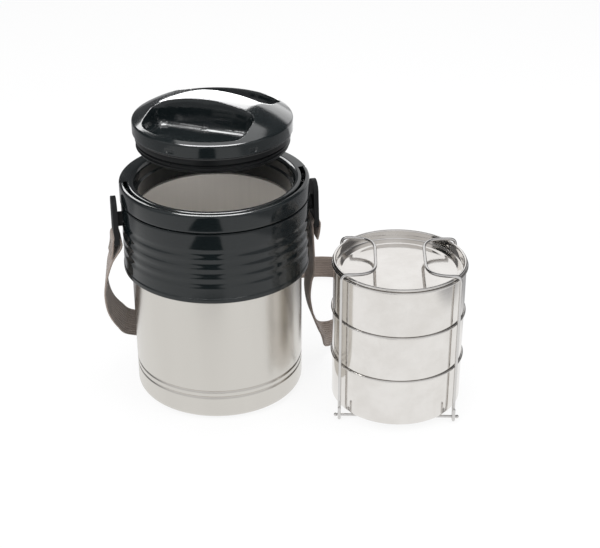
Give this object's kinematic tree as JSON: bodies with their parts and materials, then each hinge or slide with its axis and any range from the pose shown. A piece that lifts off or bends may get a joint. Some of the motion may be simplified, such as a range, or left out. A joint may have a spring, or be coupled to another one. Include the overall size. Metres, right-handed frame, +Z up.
{
  "type": "tiffin carrier",
  "caption": "Insulated lunch jar with a steel jacket, plastic collar, carry bail, strap and screw-in lid, beside a wire-held stack of round steel food containers.",
  "frame": {"origin": "centre of the jar's base, on the floor", "axes": "+Z up along the jar's axis, X through the bail and strap pivots, -Y towards the front, the container stack on the +X side"},
  "size_m": [0.3244, 0.3106, 0.2864],
  "materials": {
    "jacket_steel": "satin brushed stainless steel, brushed round the body",
    "polished_steel": "mirror polished stainless steel with fine spinning marks",
    "liner_steel": "matt drawn stainless steel",
    "wire_steel": "bright drawn steel wire",
    "charcoal_plastic": "glossy moulded charcoal plastic",
    "black_plastic": "satin moulded black plastic",
    "seal_rubber": "soft black silicone",
    "foam": "pale rigid foam",
    "webbing": "ribbed grey webbing"
  },
  "bodies": {
    "jar": {"steel_jacket": "jacket_steel", "base_disc": "black_plastic", "foam_core": "foam", "inner_liner": "liner_steel", "collar": "charcoal_plastic", "neck_ring": "charcoal_plastic", "bail_pin_left": "black_plastic", "bail_pin_right": "black_plastic", "strap_stud_left": "black_plastic", "strap_stud_right": "black_plastic", "strap_left": "webbing", "strap_right": "webbing", "strap_slider": "black_plastic"},
    "lid": {"lid_cover": "charcoal_plastic", "lid_plug": "charcoal_plastic", "lid_foam": "foam", "lid_liner": "liner_steel", "lid_gasket": "seal_rubber"},
    "bail": {"carry_bail": "charcoal_plastic"},
    "tab_left": {"strap_tab_left": "black_plastic"},
    "tab_right": {"strap_tab_right": "black_plastic"},
    "stack": {"container_bottom": "polished_steel", "container_middle": "polished_steel", "container_top": "polished_steel", "container_cover": "polished_steel", "carrier_base": "wire_steel"},
    "carrier_left": {"carrier_side_left": "wire_steel"},
    "carrier_right": {"carrier_side_right": "wire_steel"}
  },
  "joints": [
    {"name": "lid_lift", "type": "slide", "parent": "jar", "child": "lid", "axis": [0, 0, 1], "range_m": [-0.0565, 0.03]},
    {"name": "bail_swing", "type": "hinge", "parent": "jar", "child": "bail", "pos_m": [0, 0, 0.2017], "axis": [-1, 0, 0], "range_deg": [0, 24]},
    {"name": "tab_left_swivel", "type": "hinge", "parent": "jar", "child": "tab_left", "pos_m": [-0.091, 0, 0.176], "axis": [1, 0, 0], "range_deg": [-20, 20], "deforming": ["strap_left"]},
    {"name": "tab_right_swivel", "type": "hinge", "parent": "jar", "child": "tab_right", "pos_m": [0.091, 0, 0.176], "axis": [1, 0, 0], "range_deg": [-20, 20], "deforming": ["strap_right"]},
    {"name": "stack_lift", "type": "slide", "parent": "jar", "child": "stack", "axis": [0, 0, 1], "range_m": [0, 0.12]},
    {"name": "carrier_left_open", "type": "hinge", "parent": "stack", "child": "carrier_left", "pos_m": [0.10359, -0.05861, 0.0046], "axis": [-0.2419, -0.9703, 0], "range_deg": [0, 6]},
    {"name": "carrier_right_open", "type": "hinge", "parent": "stack", "child": "carrier_right", "pos_m": [0.20461, -0.08379, 0.0046], "axis": [0.2419, 0.9703, 0], "range_deg": [0, 20]}
  ]
}
